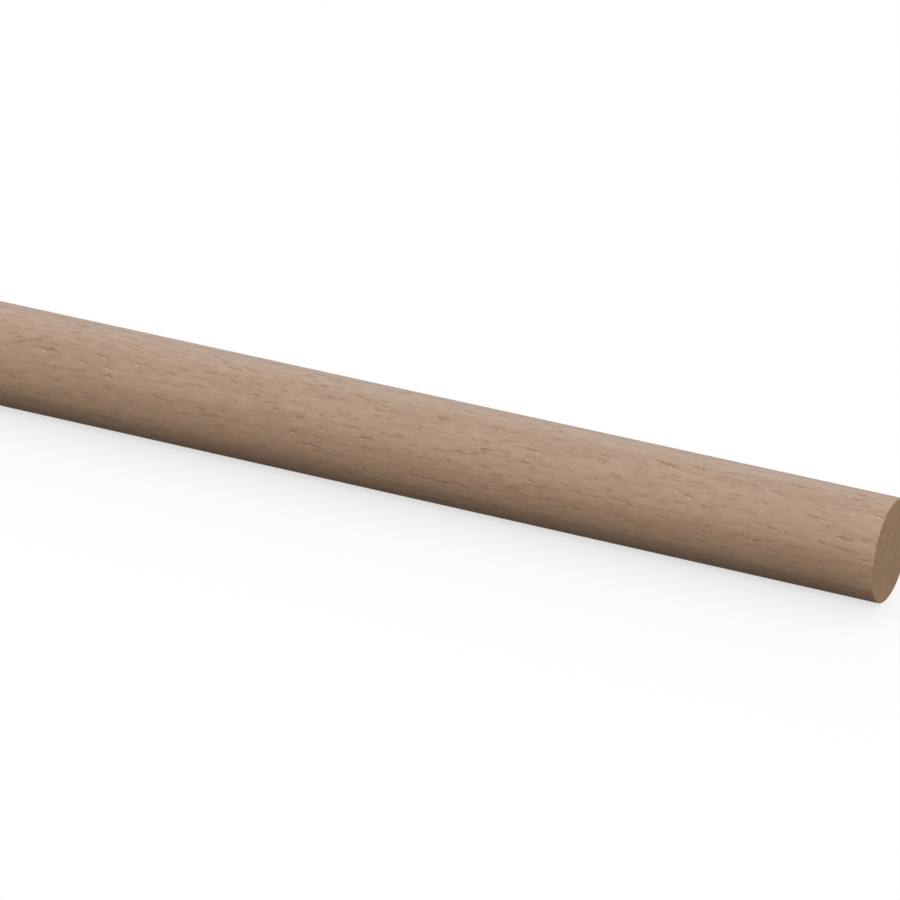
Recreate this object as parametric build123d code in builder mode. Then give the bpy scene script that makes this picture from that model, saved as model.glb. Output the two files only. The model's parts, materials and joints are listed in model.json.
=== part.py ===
from build123d import *
import os

# Smooth beech dowel: one round rod of solid wood, moulded to diameter and sawn square to length.
# The rod lies along X on the floor: its length is centred on X = 0 and its lowest line is at Z = 0.

# Driving dimensions, in millimetres
diameter = 25.0  # finished diameter of the rod
length = 1000.0  # sold length, from one sawn end to the other
arris = 0.25  # bevel where the sharp edge of each sawn end is sanded off

# The rod rests on its lowest line, so its axis runs half a diameter above the floor.
axis_height = diameter / 2
section_plane = Plane(origin=(0, 0, axis_height), x_dir=(0, 1, 0), z_dir=(1, 0, 0))

with BuildPart() as dowel:
    # Round section, drawn across the middle of the rod and run out to both ends
    with BuildSketch(section_plane):
        Circle(diameter / 2)
    extrude(amount=length / 2, both=True)

    # Both ends are sawn square, and only their arrises are eased.
    sawn_ends = dowel.faces().filter_by(Axis.X)
    chamfer(sawn_ends.edges(), arris)

dowel.part.label = "dowel"

os.makedirs("parts", exist_ok=True)
export_step(dowel.part, "parts/dowel.step")
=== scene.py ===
import json
import math

import bpy
import numpy as np
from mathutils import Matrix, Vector


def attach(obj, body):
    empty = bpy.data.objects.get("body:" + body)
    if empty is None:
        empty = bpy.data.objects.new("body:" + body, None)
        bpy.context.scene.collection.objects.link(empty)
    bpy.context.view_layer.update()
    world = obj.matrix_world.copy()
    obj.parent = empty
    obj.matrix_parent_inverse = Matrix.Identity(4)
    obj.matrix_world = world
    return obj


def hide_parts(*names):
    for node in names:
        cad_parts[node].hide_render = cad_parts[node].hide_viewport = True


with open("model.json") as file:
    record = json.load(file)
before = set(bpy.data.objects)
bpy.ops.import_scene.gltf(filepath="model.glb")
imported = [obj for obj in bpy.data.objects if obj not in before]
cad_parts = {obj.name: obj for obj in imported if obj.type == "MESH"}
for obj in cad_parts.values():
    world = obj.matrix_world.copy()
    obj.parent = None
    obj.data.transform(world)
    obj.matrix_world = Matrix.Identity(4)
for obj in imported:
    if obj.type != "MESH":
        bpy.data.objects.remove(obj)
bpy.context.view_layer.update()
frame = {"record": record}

# The dowel: one rod of solid beech, run through a moulder that leaves it round and smooth.
# It is sawn square at both ends, and the saw leaves the arrises a little ragged.
# The wood is bare, with the short dark ray flecks that mark beech on the face of the board.
mounts = {mount["name"]: mount for mount in frame["record"]["mounts"]}
rod_radius = mounts["shaft"]["dims"]["r_mm"] / 1000
axis_height = mounts["shaft"]["pos_m"][2]
near_end = mounts["near_end"]["pos_m"][0]
far_end = mounts["far_end"]["pos_m"][0]
rod_length = near_end - far_end
arris = (rod_length - mounts["shaft"]["dims"]["length_mm"] / 1000) / 2


def feed(tree, socket, value):
    """Links a socket to another node's output, or writes a plain value on it."""
    if isinstance(value, bpy.types.NodeSocket):
        tree.links.new(value, socket)
    else:
        socket.default_value = value


def number(tree, operation, *values):
    """Works out one number from others."""
    node = tree.nodes.new("ShaderNodeMath")
    node.operation = operation
    for socket, value in zip(node.inputs, values):
        feed(tree, socket, value)
    return node.outputs[0]


def times(tree, *values):
    """Multiplies numbers together."""
    product = values[0]
    for value in values[1:]:
        product = number(tree, "MULTIPLY", product, value)
    return product


def plus(tree, *values):
    """Adds numbers together."""
    total = values[0]
    for value in values[1:]:
        total = number(tree, "ADD", total, value)
    return total


def ramp(tree, value, start, end, low=0.0, high=1.0, shape="LINEAR"):
    """Goes from low to high while value goes from start to end, and is level beyond them."""
    node = tree.nodes.new("ShaderNodeMapRange")
    node.interpolation_type = shape
    node.clamp = True
    for socket, setting in zip(node.inputs, (value, start, end, low, high)):
        feed(tree, socket, setting)
    return node.outputs[0]


def point(tree, x, y, z=0.0):
    """Joins three numbers into a place."""
    node = tree.nodes.new("ShaderNodeCombineXYZ")
    for socket, value in zip(node.inputs, (x, y, z)):
        feed(tree, socket, value)
    return node.outputs[0]


def noise(tree, *measures, detail=2.0, roughness=0.5, low=0.0, high=1.0):
    """Soft random value around the middle of low and high.

    Each measure is a place and the size of one swing there.
    """
    place = point(tree, *(number(tree, "DIVIDE", value, size) for value, size in measures))
    node = tree.nodes.new("ShaderNodeTexNoise")
    feed(tree, node.inputs["Vector"], place)
    node.inputs["Scale"].default_value = 1.0
    node.inputs["Detail"].default_value = detail
    node.inputs["Roughness"].default_value = roughness
    return number(tree, "MULTIPLY_ADD", node.outputs[0], high - low, low)


def blend(tree, amount, colour, other, mode="MIX"):
    """Lays one colour over another."""
    node = tree.nodes.new("ShaderNodeMix")
    node.data_type = "RGBA"
    node.blend_type = mode
    feed(tree, node.inputs[0], amount)
    feed(tree, node.inputs[6], colour)
    feed(tree, node.inputs[7], other)
    return node.outputs[2]


def shaded(tree, colour, level):
    """Makes a colour lighter or darker by a number."""
    node = tree.nodes.new("ShaderNodeVectorMath")
    node.operation = "SCALE"
    tree.links.new(colour, node.inputs[0])
    feed(tree, node.inputs["Scale"], level)
    return node.outputs[0]


def ray_flecks(tree, across, along, fray, cell, fleck, seed):
    """Spindle-shaped marks, one to each cell of the face, where the wood's rays come out of it.

    cell and fleck are (length, width) in millimetres, and fray roughens a fleck's outline.
    Gives the flecks, the pale burst beside each, which is partly torn fibre and partly a painted
    highlight on the fleck's lit lower lip, and how dark each one is, from 0 to 1.
    """
    cell_length, cell_width = cell
    fleck_length, fleck_width = fleck
    shortest = 0.28 * fleck_length
    longest = 0.98 * fleck_length
    thinnest = 0.48 * fleck_width
    thickest = 0.60 * fleck_width
    least_lean = 0.04
    most_lean = -0.24
    burst_spread = 0.6  # how far from the fleck's middle a burst may sit, in half lengths
    burst_offset = 1.3  # how far out to one side it sits, in half widths
    burst_shortness = 3.6
    burst_slimness = 1.5

    cell_along = number(tree, "MULTIPLY_ADD", along, 1 / cell_length, seed)
    cell_across = number(tree, "MULTIPLY_ADD", across, 1 / cell_width, seed)
    cells = tree.nodes.new("ShaderNodeTexVoronoi")
    cells.voronoi_dimensions = "2D"
    cells.inputs["Scale"].default_value = 1.0
    tree.links.new(point(tree, cell_along, cell_across), cells.inputs["Vector"])
    middle = tree.nodes.new("ShaderNodeSeparateXYZ")
    tree.links.new(cells.outputs["Position"], middle.inputs[0])
    chances = tree.nodes.new("ShaderNodeSeparateColor")
    tree.links.new(cells.outputs["Color"], chances.inputs[0])
    size_chance, tone_chance, lean_chance = chances.outputs

    lengthways = times(tree, number(tree, "SUBTRACT", cell_along, middle.outputs[0]), cell_length)
    sideways = times(tree, number(tree, "SUBTRACT", cell_across, middle.outputs[1]), cell_width)
    lean = ramp(tree, lean_chance, 0.0, 1.0, least_lean, most_lean)
    sideways = number(tree, "MULTIPLY_ADD", lengthways, lean, sideways)
    big = times(tree, size_chance, size_chance)
    half_length = ramp(tree, big, 0.0, 1.0, shortest, longest)
    half_width = ramp(tree, big, 0.0, 1.0, thinnest, thickest)
    length_share = number(tree, "DIVIDE", lengthways, half_length)
    width_share = number(tree, "DIVIDE", sideways, half_width)
    taper = times(tree, length_share, length_share)
    reach = plus(tree, taper, number(tree, "ABSOLUTE", width_share), fray)
    spindle = ramp(tree, reach, 1.15, 0.6, shape="SMOOTHSTEP")

    burst_place = ramp(tree, lean_chance, 0.0, 1.0, -burst_spread, burst_spread)
    burst_along = number(tree, "SUBTRACT", length_share, burst_place)
    burst_along = number(tree, "ABSOLUTE", times(tree, burst_along, burst_shortness))
    burst_across = number(tree, "SUBTRACT", width_share, burst_offset)
    burst_across = number(tree, "ABSOLUTE", times(tree, burst_across, burst_slimness))
    burst_reach = plus(tree, burst_along, burst_across, fray)
    # The burst is partly pale torn fibre and partly a painted highlight on one side of the fleck.
    burst_and_highlight = ramp(tree, burst_reach, 1.3, 0.2, shape="SMOOTHSTEP")
    return spindle, burst_and_highlight, tone_chance


def bare_beech():
    """Bare beech, with its pattern worked out in millimetres.

    Growth rings and the rays on the ends follow the log that the rod was cut from. Flecks,
    mottle and lines are laid round the rod from its top, with their join along the underside.
    """
    per_metre = 1000.0
    radius = per_metre * rod_radius
    half_length = per_metre * rod_length / 2
    pith_distance = 80.0  # from the pith to the middle of the rod
    face_angle = math.radians(138.0)  # the way to the bark, measured from +Y towards +Z
    face_out = (0.0, math.cos(face_angle), math.sin(face_angle))
    face_down = (0.0, -math.sin(face_angle), math.cos(face_angle))
    sapwood_and_sheen_angle = math.radians(41.0)  # the paler side of the rod, partly sapwood and partly painted sheen
    sapwood_and_sheen_side = (0.0, math.cos(sapwood_and_sheen_angle), math.sin(sapwood_and_sheen_angle))
    sapwood_and_sheen_share = 0.31
    grain_slope = math.tan(math.radians(-2.4))
    ring_slope = math.tan(math.radians(0.4))
    ring_spacing = 4.8
    ring_start = 1.15
    ring_depth = 0.4
    end_ring_depth = 0.22
    line_spacing = 3.4
    fibre_height = 0.012
    mottle_height = 0.02
    broad_fleck_depth = 0.045
    fine_fleck_depth = 0.025
    saw_mark_height = 0.06

    straw_wood = (0.444, 0.281, 0.1736, 1.0)
    pink_wood = (0.441, 0.2715, 0.1726, 1.0)
    # A pale grey, partly the colour of sapwood and partly a painted sheen
    sapwood_and_sheen = (0.555, 0.52, 0.485, 1.0)
    late_wood = (0.84, 0.76, 0.72, 1.0)
    fleck_brown = (0.165, 0.088, 0.052, 1.0)
    pale_fibre_and_highlight = (0.70, 0.54, 0.42, 1.0)
    end_wood = (0.344, 0.206, 0.110, 1.0)
    torn_wood = (0.60, 0.465, 0.335, 1.0)

    material = bpy.data.materials.new("bare_beech")
    material.use_nodes = True
    tree = material.node_tree
    shader = tree.nodes["Principled BSDF"]

    coordinates = tree.nodes.new("ShaderNodeTexCoord")
    millimetres = tree.nodes.new("ShaderNodeVectorMath")
    millimetres.operation = "MULTIPLY_ADD"
    tree.links.new(coordinates.outputs["Object"], millimetres.inputs[0])
    millimetres.inputs[1].default_value = (per_metre, per_metre, per_metre)
    millimetres.inputs[2].default_value = (0, 0, -per_metre * axis_height)

    def part_along(direction):
        """How far a point lies from the middle of the rod in one direction."""
        node = tree.nodes.new("ShaderNodeVectorMath")
        node.operation = "DOT_PRODUCT"
        tree.links.new(millimetres.outputs[0], node.inputs[0])
        node.inputs[1].default_value = direction
        return node.outputs["Value"]

    along = part_along((1, 0, 0))
    outward = part_along(face_out)
    downward = part_along(face_down)
    from_pith = plus(tree, outward, pith_distance)

    # The way round the rod from its top, which wanders along the rod as the grain does
    turn = number(tree, "ARCTAN2", part_along((0, -1, 0)), part_along((0, 0, 1)))
    round_rod = times(tree, turn, radius)
    sway = noise(tree, (along, 70), (downward, 30), (outward, 30), low=-2.5, high=2.5)
    wave = noise(tree, (along, 18), (downward, 5), (outward, 5), low=-1.3, high=1.3)
    face_place = plus(tree, round_rod, sway, wave, times(tree, along, -grain_slope))
    ripple = noise(tree, (along, 4.6), (face_place, 2.6), detail=2.0, low=-0.45, high=0.45)
    rippled_place = plus(tree, face_place, ripple)

    # Fine fibres, soft mottling, broad patches of two hues, and breaks in the marks
    fibres = noise(
        tree, (along, 8.0), (downward, 0.35), (outward, 0.35), detail=3.0, roughness=0.6
    )
    mottle = noise(tree, (along, 4.2), (rippled_place, 1.4), detail=1.5)
    patches = noise(tree, (along, 30.0), (downward, 6.0), (outward, 6.0))
    breaks = noise(tree, (along, 1.5), (face_place, 0.8), detail=1.0)
    dashes = noise(tree, (along, 3.0), (face_place, 1.6), detail=1.0)

    # Long wavy lines of denser wood, which darken to short strokes here and there
    line_drift = noise(tree, (along, 60.0), (face_place, 5.0), detail=1.0, low=-4.0, high=4.0)
    from_line = number(tree, "PINGPONG", plus(tree, rippled_place, line_drift), line_spacing / 2)
    lines = ramp(tree, from_line, 0.0, 0.45, 1.0, 0.0, shape="SMOOTHSTEP")
    lines = times(tree, lines, ramp(tree, dashes, 0.35, 0.6, 0.3, 1.0))
    strokes = ramp(tree, from_line, 0.0, 0.2, 1.0, 0.0, shape="SMOOTHSTEP")
    strokes = times(tree, strokes, ramp(tree, dashes, 0.56, 0.64, 0.0, 0.3))

    # Growth rings: each one darkens towards its late wood, and the next starts pale.
    ring_size = tree.nodes.new("ShaderNodeVectorMath")
    ring_size.operation = "LENGTH"
    tree.links.new(point(tree, downward, from_pith), ring_size.inputs[0])
    ring_wave = noise(
        tree, (along, 22.0), (downward, 8.0), (outward, 8.0), detail=3.0, low=-2.2, high=2.2
    )
    feather = noise(
        tree, (along, 5.0), (downward, 0.9), (outward, 0.9), detail=3.0, low=-0.7, high=0.7
    )
    ring_drift = times(tree, along, ring_slope)
    ring_place = plus(
        tree, ring_size.outputs["Value"], ring_drift, ring_wave, feather, ring_start
    )
    ring_share = number(tree, "FRACT", number(tree, "DIVIDE", ring_place, ring_spacing))
    late = times(
        tree,
        ramp(tree, ring_share, 0.45, 0.9, shape="SMOOTHSTEP"),
        ramp(tree, ring_share, 1.0, 0.84, shape="SMOOTHSTEP"),
    )

    # Ray flecks, broken and frayed, with a pale burst beside some, partly torn fibre and partly a
    # painted highlight on the fleck's lit lip
    fray = noise(tree, (along, 0.9), (face_place, 0.35), detail=2.0, low=-0.7, high=0.7)
    broad, broad_burst_and_highlight, broad_tone = ray_flecks(
        tree, rippled_place, along, fray, cell=(8.0, 3.8), fleck=(4.2, 0.52), seed=11.3
    )
    fine, fine_burst_and_highlight, fine_tone = ray_flecks(
        tree, rippled_place, along, fray, cell=(4.1, 1.9), fleck=(2.4, 0.38), seed=47.9
    )
    broad = times(tree, broad, ramp(tree, broad_tone, 0.0, 1.0, 0.1, 0.52))
    broad = times(tree, broad, ramp(tree, breaks, 0.38, 0.52, 0.2, 1.0))
    fine = times(tree, fine, ramp(tree, fine_tone, 0.35, 1.0, 0.0, 0.47))
    fine = number(tree, "MAXIMUM", fine, strokes)
    bursts_and_highlights = number(
        tree,
        "MAXIMUM",
        times(tree, broad_burst_and_highlight, ramp(tree, broad_tone, 0.3, 0.8, 0.0, 0.56)),
        times(tree, fine_burst_and_highlight, ramp(tree, fine_tone, 0.55, 0.85, 0.0, 0.48)),
    )

    # The colour of the side, from the ground up to the marks on it
    colour = blend(tree, ramp(tree, patches, 0.38, 0.62), straw_wood, pink_wood)
    # Painted sheen: the side towards the top and back is blended to a pale grey, partly as paler
    # sapwood and partly standing in for the white sky's sheen at grazing angles.
    paler_and_sheen = ramp(tree, part_along(sapwood_and_sheen_side), -radius, radius, 0.0, sapwood_and_sheen_share)
    colour = blend(tree, paler_and_sheen, colour, sapwood_and_sheen)
    colour = blend(tree, times(tree, late, ring_depth), colour, late_wood, "MULTIPLY")
    colour = shaded(tree, colour, ramp(tree, fibres, 0.2, 0.8, 0.98, 1.02))
    colour = shaded(tree, colour, ramp(tree, mottle, 0.2, 0.8, 0.89, 1.11))
    colour = shaded(tree, colour, ramp(tree, lines, 0.0, 1.0, 1.0, 0.92))
    # Painted highlight: pale spots on one side of the flecks, partly torn fibre and partly the
    # light caught by each fleck's lower lip.
    colour = blend(tree, bursts_and_highlights, colour, pale_fibre_and_highlight)
    colour = blend(tree, fine, colour, fleck_brown)
    colour = blend(tree, broad, colour, fleck_brown)

    # The sawn ends are browner, with rings, fine rays and the marks of the saw.
    end_grain = tree.nodes.new("ShaderNodeAttribute")
    end_grain.attribute_name = "end_grain"
    end_share = ramp(tree, end_grain.outputs["Fac"], 0.35, 0.65)
    height_on_end = part_along((0, 0, 1))
    across_end = part_along((0, 1, 0))
    saw_marks = noise(tree, (height_on_end, 0.5), (across_end, 9.0), (along, 200.0), detail=3.0)
    ray_place = number(tree, "DIVIDE", times(tree, downward, pith_distance), from_pith)
    end_rays = noise(tree, (ray_place, 0.45), (outward, 6.0), (along, 200.0), detail=2.0)
    saw_lines = noise(tree, (height_on_end, 1.3), (across_end, 12.0), (along, 200.0), detail=1.0)
    end_blotch = noise(tree, (height_on_end, 6.0), (across_end, 9.0), (along, 200.0))
    end_colour = blend(tree, times(tree, late, end_ring_depth), end_wood, late_wood, "MULTIPLY")
    end_colour = shaded(tree, end_colour, ramp(tree, saw_marks, 0.25, 0.75, 0.95, 1.05))
    end_colour = shaded(tree, end_colour, ramp(tree, end_rays, 0.5, 0.72, 1.0, 1.14))
    end_colour = shaded(tree, end_colour, ramp(tree, end_blotch, 0.3, 0.7, 0.94, 1.06))
    end_colour = shaded(tree, end_colour, ramp(tree, saw_lines, 0.58, 0.7, 1.0, 0.9))
    colour = blend(tree, end_share, colour, end_colour)

    # Fibres torn by the saw stand pale along the arris.
    from_axis = tree.nodes.new("ShaderNodeVectorMath")
    from_axis.operation = "LENGTH"
    tree.links.new(point(tree, downward, outward), from_axis.inputs[0])
    from_end = number(tree, "SUBTRACT", half_length, number(tree, "ABSOLUTE", along))
    from_side = number(tree, "SUBTRACT", radius, from_axis.outputs["Value"])
    tufts = noise(tree, (downward, 0.7), (outward, 0.7), (along, 100.0), detail=2.0)
    torn = ramp(tree, plus(tree, from_end, from_side), 0.2, 0.6, 1.0, 0.0)
    torn = times(tree, torn, ramp(tree, tufts, 0.4, 0.6, 0.0, 0.45))
    torn = times(tree, torn, ramp(tree, height_on_end, -5.0, 3.0, 0.1, 1.0))
    colour = blend(tree, torn, colour, torn_wood)
    tree.links.new(colour, shader.inputs["Base Color"])

    tree.links.new(ramp(tree, fibres, 0.2, 0.8, 0.6, 0.74), shader.inputs["Roughness"])
    shader.inputs["Specular IOR Level"].default_value = 0.12
    shader.inputs["Sheen Weight"].default_value = 0.06
    shader.inputs["Sheen Roughness"].default_value = 0.7

    # Flecks lie a little below the side, and the saw has left ridges on the ends.
    relief = times(tree, mottle, mottle_height)
    relief = number(tree, "MULTIPLY_ADD", broad, -broad_fleck_depth, relief)
    relief = number(tree, "MULTIPLY_ADD", fine, -fine_fleck_depth, relief)
    side_share = number(tree, "SUBTRACT", 1.0, end_share)
    height = plus(
        tree,
        times(tree, fibres, fibre_height),
        times(tree, relief, side_share),
        times(tree, saw_marks, end_share, saw_mark_height),
    )
    bump = tree.nodes.new("ShaderNodeBump")
    bump.inputs["Distance"].default_value = 1 / per_metre
    tree.links.new(height, bump.inputs["Height"])
    tree.links.new(bump.outputs[0], shader.inputs["Normal"])
    return material


def rod_tree():
    """Node tree that turns a flat grid into the rod.

    Rows of the grid follow the rod's outline from the middle of one end to the middle of the
    other, and columns go round it.
    """
    join_distance = 1e-6
    other_end_seed = 7.0
    rounding = 0.3  # how far a rounded arris passes inside the square corner, as a share of it
    tree = bpy.data.node_groups.new("sawn_round_rod", "GeometryNodeTree")
    for name, kind in (
        ("Length", "NodeSocketFloat"),
        ("Radius", "NodeSocketFloat"),
        ("Arris", "NodeSocketFloat"),
        ("Axis height", "NodeSocketFloat"),
        ("Facets round", "NodeSocketInt"),
        ("Rows along side", "NodeSocketInt"),
        ("Rows on end", "NodeSocketInt"),
        ("Chip depth", "NodeSocketFloat"),
        ("Chip size", "NodeSocketFloat"),
        ("Seed", "NodeSocketFloat"),
        ("Wood", "NodeSocketMaterial"),
    ):
        tree.interface.new_socket(name, in_out="INPUT", socket_type=kind)
    tree.interface.new_socket("Rod", in_out="OUTPUT", socket_type="NodeSocketGeometry")
    given = tree.nodes.new("NodeGroupInput").outputs
    length = given["Length"]
    radius = given["Radius"]
    bevel = given["Arris"]

    # Row numbers where one stretch of the outline ends and the next begins
    face_edge = given["Rows on end"]
    arris_row = plus(tree, face_edge, 1)
    side_start = plus(tree, face_edge, 2)
    side_end = plus(tree, side_start, given["Rows along side"])
    other_arris_row = plus(tree, side_end, 1)
    other_edge = plus(tree, side_end, 2)
    last_row = plus(tree, other_edge, face_edge)

    grid = tree.nodes.new("GeometryNodeMeshGrid")
    grid.inputs["Size X"].default_value = 1.0
    grid.inputs["Size Y"].default_value = 1.0
    tree.links.new(plus(tree, last_row, 1), grid.inputs["Vertices X"])
    tree.links.new(plus(tree, given["Facets round"], 1), grid.inputs["Vertices Y"])
    spot = tree.nodes.new("ShaderNodeSeparateXYZ")
    tree.links.new(tree.nodes.new("GeometryNodeInputPosition").outputs[0], spot.inputs[0])
    row = times(tree, plus(tree, spot.outputs[0], 0.5), last_row)

    # The quarter turn puts the join of the columns along the underside.
    turn = times(tree, number(tree, "SUBTRACT", 0.25, spot.outputs[1]), math.tau)
    cosine = number(tree, "COSINE", turn)
    sine = number(tree, "SINE", turn)

    # The saw tears the arris where its teeth come out, which is the upper side.
    end_seed = ramp(tree, row, side_start, side_end, 0.0, other_end_seed)
    round_y = times(tree, cosine, radius)
    round_z = times(tree, sine, radius)

    def tear(share, seed):
        """How deep one line of the arris is torn, all round the rod."""
        layer = plus(tree, end_seed, given["Seed"], seed)
        chance = noise(
            tree, (round_y, given["Chip size"]), (round_z, given["Chip size"]), (layer, 1.0),
            detail=3.0, roughness=0.65,
        )
        depth = times(tree, given["Chip depth"], share, ramp(tree, sine, -0.4, 0.3, 0.3, 1.0))
        return ramp(tree, chance, 0.45, 0.62, 0.0, depth)

    # Each stretch adds its own share of the way along the rod and out from its axis.
    face_inset = plus(tree, bevel, tear(share=0.7, seed=0.0))
    arris_inset = plus(tree, times(tree, bevel, rounding), tear(share=0.35, seed=2.0))
    side_inset = plus(tree, bevel, tear(share=1.0, seed=4.0))
    face_radius = number(tree, "SUBTRACT", radius, face_inset)
    out_to_arris = number(tree, "SUBTRACT", face_inset, arris_inset)
    in_from_arris = number(tree, "SUBTRACT", side_inset, arris_inset)
    side_length = number(tree, "SUBTRACT", length, times(tree, side_inset, 2))
    out = plus(
        tree,
        ramp(tree, row, 0.0, face_edge, 0.0, face_radius),
        ramp(tree, row, face_edge, arris_row, 0.0, out_to_arris),
        ramp(tree, row, arris_row, side_start, 0.0, arris_inset),
    )
    for lost in (
        ramp(tree, row, side_end, other_arris_row, 0.0, arris_inset),
        ramp(tree, row, other_arris_row, other_edge, 0.0, out_to_arris),
        ramp(tree, row, other_edge, last_row, 0.0, face_radius),
    ):
        out = number(tree, "SUBTRACT", out, lost)
    way = plus(
        tree,
        ramp(tree, row, face_edge, arris_row, 0.0, arris_inset),
        ramp(tree, row, arris_row, side_start, 0.0, in_from_arris),
        ramp(tree, row, side_start, side_end, 0.0, side_length),
        ramp(tree, row, side_end, other_arris_row, 0.0, in_from_arris),
        ramp(tree, row, other_arris_row, other_edge, 0.0, arris_inset),
    )
    x = number(tree, "SUBTRACT", way, times(tree, length, 0.5))
    y = times(tree, out, cosine)
    z = plus(tree, times(tree, out, sine), given["Axis height"])

    # The ends are marked, so that the wood knows where its end grain shows.
    end_share = plus(
        tree,
        ramp(tree, row, face_edge, side_start, 1.0, 0.0),
        ramp(tree, row, side_end, other_edge, 0.0, 1.0),
    )
    mark = tree.nodes.new("GeometryNodeStoreNamedAttribute")
    mark.data_type = "FLOAT"
    mark.domain = "POINT"
    mark.inputs["Name"].default_value = "end_grain"
    tree.links.new(grid.outputs["Mesh"], mark.inputs["Geometry"])
    tree.links.new(end_share, mark.inputs["Value"])
    shape = tree.nodes.new("GeometryNodeSetPosition")
    tree.links.new(mark.outputs[0], shape.inputs["Geometry"])
    tree.links.new(point(tree, x, y, z), shape.inputs["Position"])
    close = tree.nodes.new("GeometryNodeMergeByDistance")
    close.inputs["Distance"].default_value = join_distance
    tree.links.new(shape.outputs[0], close.inputs["Geometry"])
    smooth = tree.nodes.new("GeometryNodeSetShadeSmooth")
    tree.links.new(close.outputs[0], smooth.inputs["Geometry"])
    whole = tree.nodes.new("GeometryNodeRealizeInstances")
    tree.links.new(smooth.outputs[0], whole.inputs["Geometry"])
    finish = tree.nodes.new("GeometryNodeSetMaterial")
    tree.links.new(whole.outputs[0], finish.inputs["Geometry"])
    tree.links.new(given["Wood"], finish.inputs["Material"])
    result = tree.nodes.new("NodeGroupOutput")
    tree.links.new(finish.outputs[0], result.inputs["Rod"])
    return tree


def made_by(tree, name, settings):
    """Runs a node tree on an empty object and keeps the result as a plain mesh object."""
    blank = bpy.data.objects.new(name, bpy.data.meshes.new(name))
    bpy.context.collection.objects.link(blank)
    maker = blank.modifiers.new(name, "NODES")
    maker.node_group = tree
    for item in tree.interface.items_tree:
        if item.in_out == "INPUT":
            maker[item.identifier] = settings[item.name]
    evaluated = blank.evaluated_get(bpy.context.evaluated_depsgraph_get())
    mesh = bpy.data.meshes.new_from_object(evaluated)
    blank.modifiers.remove(maker)
    blank.data = mesh
    return blank


rod = made_by(
    rod_tree(),
    "beech_dowel",
    {
        "Length": rod_length,
        "Radius": rod_radius,
        "Arris": arris,
        "Axis height": axis_height,
        "Facets round": 400,
        "Rows along side": 80,
        "Rows on end": 12,
        "Chip depth": 0.00055,
        "Chip size": 0.001,
        "Seed": 3.0,
        "Wood": bare_beech(),
    },
)
crease_angle = math.radians(30)
rod.data.set_sharp_from_angle(angle=crease_angle)


def read_all(items, name, width, kind=np.float32):
    """One property of every item, as rows of numbers."""
    values = np.empty(len(items) * width, kind)
    items.foreach_get(name, values)
    return values.reshape(-1, width)


def lay_flat(mesh):
    """Lays the rod out flat for its baked finish, with all sizes in pixels of that picture.

    Each half of the side makes a strip, and each end makes a disc.
    """
    map_pixels = 1024
    gap = 4
    strip_length = map_pixels - 2 * gap
    strip_width = 450
    disc_radius = 50
    end_facing = 0.7  # a face that looks this much along the rod belongs to an end
    half_length = rod_length / 2

    face_corners = read_all(mesh.polygons, "loop_total", 1, np.int32)[:, 0]
    corner_face = np.repeat(np.arange(len(mesh.polygons)), face_corners)
    corner_vertex = read_all(mesh.loops, "vertex_index", 1, np.int32)[:, 0]
    x, y, z = read_all(mesh.vertices, "co", 3)[corner_vertex].T
    middle_x, middle_y, middle_z = read_all(mesh.polygons, "center", 3)[corner_face].T
    facing = read_all(mesh.polygons, "normal", 3)[corner_face, 0]

    # Turns are counted from the top of the rod, and the strips are cut along its underside.
    middle_turn = np.arctan2(middle_y, middle_z - axis_height) / math.tau
    turn = np.arctan2(y, z - axis_height) / math.tau
    turn += np.round(middle_turn - turn)
    far_half = middle_x < 0
    across = gap + strip_length * (x + far_half * half_length) / half_length
    up = gap + strip_width * (turn + 0.5) + far_half * (strip_width + gap)

    on_end = np.abs(facing) > end_facing
    disc_across = gap + disc_radius + (facing < 0) * (2 * disc_radius + gap)
    disc_across = disc_across + np.sign(facing) * y / rod_radius * disc_radius
    disc_up = 3 * gap + 2 * strip_width + disc_radius + (z - axis_height) / rod_radius * disc_radius
    flat_across = np.where(on_end, disc_across, across)
    flat_up = np.where(on_end, disc_up, up)
    flat = np.stack((flat_across, flat_up), axis=1) / map_pixels
    layer = mesh.uv_layers.new(name="OFBake")
    layer.uv.foreach_set("vector", flat.astype(np.float32).ravel())


lay_flat(rod.data)
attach(rod, "root")
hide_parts("dowel")

# The floor: a wide white studio sheet that the rod lies on.
# It is white to the camera and dark to the light that would bounce up under the rod.
floor_reach = 6.0
white = (1.0, 1.0, 1.0, 1.0)
paper_grey = (0.36, 0.36, 0.36, 1.0)
paper_shade = (0.01, 0.01, 0.01, 1.0)
paper_glow = 0.65
corners = [
    (-floor_reach, -floor_reach, 0),
    (floor_reach, -floor_reach, 0),
    (floor_reach, floor_reach, 0),
    (-floor_reach, floor_reach, 0),
]
floor_mesh = bpy.data.meshes.new("studio_floor")
floor_mesh.from_pydata(corners, [], [(0, 1, 2, 3)])
floor = bpy.data.objects.new("studio_floor", floor_mesh)
bpy.context.collection.objects.link(floor)
paper = bpy.data.materials.new("white_paper")
paper.use_nodes = True
paper_tree = paper.node_tree
paper_shader = paper_tree.nodes["Principled BSDF"]
paper_shader.inputs["Roughness"].default_value = 0.9
paper_shader.inputs["Specular IOR Level"].default_value = 0.0


def seen_directly(tree):
    """1 for what is seen, straight or by reflection or through glass, and 0 for soft light."""
    light_path = tree.nodes.new("ShaderNodeLightPath")
    rays = light_path.outputs
    seen = number(tree, "MAXIMUM", rays["Is Camera Ray"], rays["Is Glossy Ray"])
    return number(tree, "MAXIMUM", seen, rays["Is Transmission Ray"])


paper_seen = seen_directly(paper_tree)
paper_colour = blend(paper_tree, paper_seen, paper_shade, paper_grey)
paper_tree.links.new(paper_colour, paper_shader.inputs["Base Color"])
paper_shader.inputs["Emission Color"].default_value = white
glow = times(paper_tree, paper_seen, paper_glow)
paper_tree.links.new(glow, paper_shader.inputs["Emission Strength"])
floor_mesh.materials.append(paper)

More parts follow.
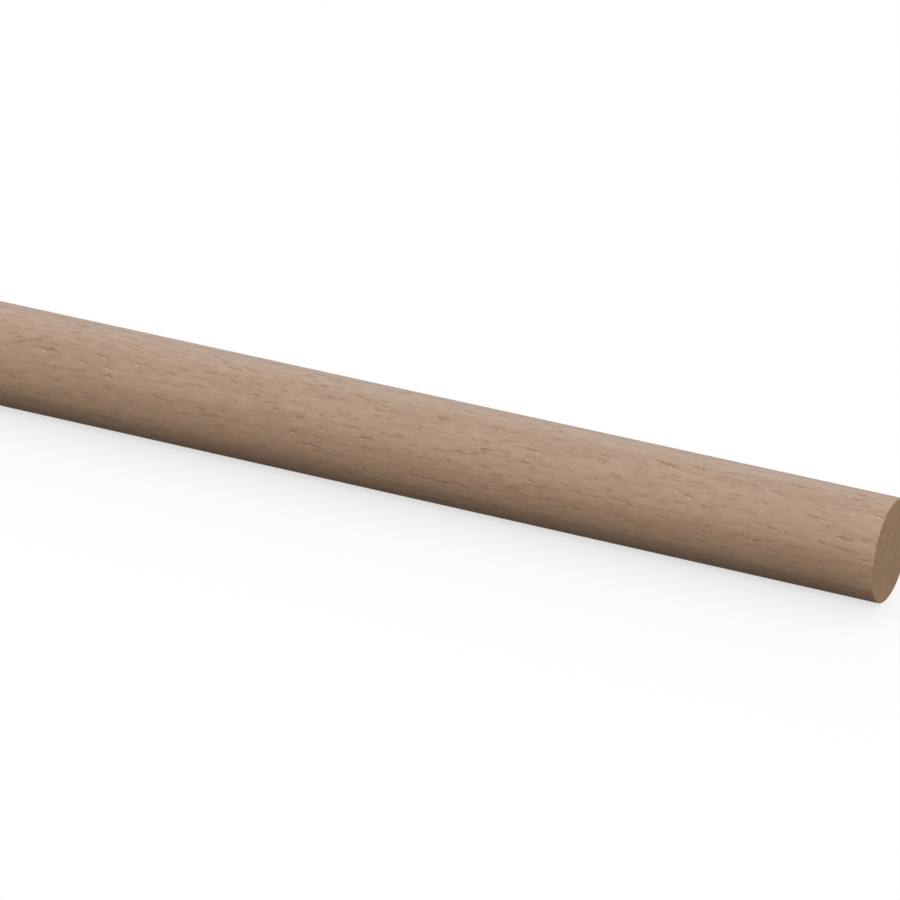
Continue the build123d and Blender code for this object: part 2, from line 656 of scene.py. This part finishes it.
# The light: a pale sky, brightest overhead and dark at the horizon, which is seen as plain white.
# A soft lamp stands in front, above and to the right, and a wider and lower one behind.
zenith_level = 0.872
world = bpy.data.worlds.new("studio_sky")
world.use_nodes = True
sky_tree = world.node_tree
sky = sky_tree.nodes["Background"]
sky.inputs["Color"].default_value = white
direction = sky_tree.nodes.new("ShaderNodeTexCoord")
way_up = sky_tree.nodes.new("ShaderNodeSeparateXYZ")
sky_tree.links.new(direction.outputs["Generated"], way_up.inputs[0])
sky_level = ramp(sky_tree, way_up.outputs[2], 0.0, 1.0, 0.0, zenith_level)
sky_strength = ramp(sky_tree, seen_directly(sky_tree), 0.0, 1.0, sky_level, 1.0)
sky_tree.links.new(sky_strength, sky.inputs["Strength"])
bpy.context.scene.world = world

# Each lamp's strength, then its azimuth, elevation and spread in degrees
for lamp_name, level, azimuth, elevation, spread in (
    ("soft_key", 0.635, 48.2, 32.4, 24.0),
    ("soft_fill", 0.39, 215.0, 7.0, 55.0),
):
    lamp_data = bpy.data.lights.new(lamp_name, "SUN")
    lamp_data.energy = level * math.pi
    lamp_data.angle = math.radians(spread)
    lamp = bpy.data.objects.new(lamp_name, lamp_data)
    lamp.rotation_euler = (math.pi / 2 - math.radians(elevation), 0.0, math.radians(azimuth))
    bpy.context.collection.objects.link(lamp)
bpy.context.scene.view_settings.view_transform = "Standard"

# The camera: a long lens that looks down on the rod's near end, as the photograph does.
# Its place was fitted to the rod's two edges and to the outline of that end.
view_azimuth = math.radians(23.91)
view_elevation = math.radians(30.0)
view_distance = 112.77 * rod_radius
picture_size = 900
focal_pixels = 6091.65
end_pixel = (891.05, 550.81)
back = Vector((
    math.sin(view_azimuth) * math.cos(view_elevation),
    -math.cos(view_azimuth) * math.cos(view_elevation),
    math.sin(view_elevation),
))
right = Vector((math.cos(view_azimuth), math.sin(view_azimuth), 0.0))
up = back.cross(right)
right_share = (end_pixel[0] - picture_size / 2) / focal_pixels
down_share = (end_pixel[1] - picture_size / 2) / focal_pixels
end_centre = Vector((near_end, 0.0, axis_height))
camera_data = bpy.data.cameras.new("camera")
camera_data.sensor_width = 36.0
camera_data.lens = focal_pixels * camera_data.sensor_width / picture_size
camera_data.clip_end = 100.0
camera = bpy.data.objects.new("camera", camera_data)
camera.location = end_centre + view_distance * (back - right_share * right + down_share * up)
camera.rotation_euler = (math.pi / 2 - view_elevation, 0.0, view_azimuth)
bpy.context.collection.objects.link(camera)
bpy.context.scene.camera = camera
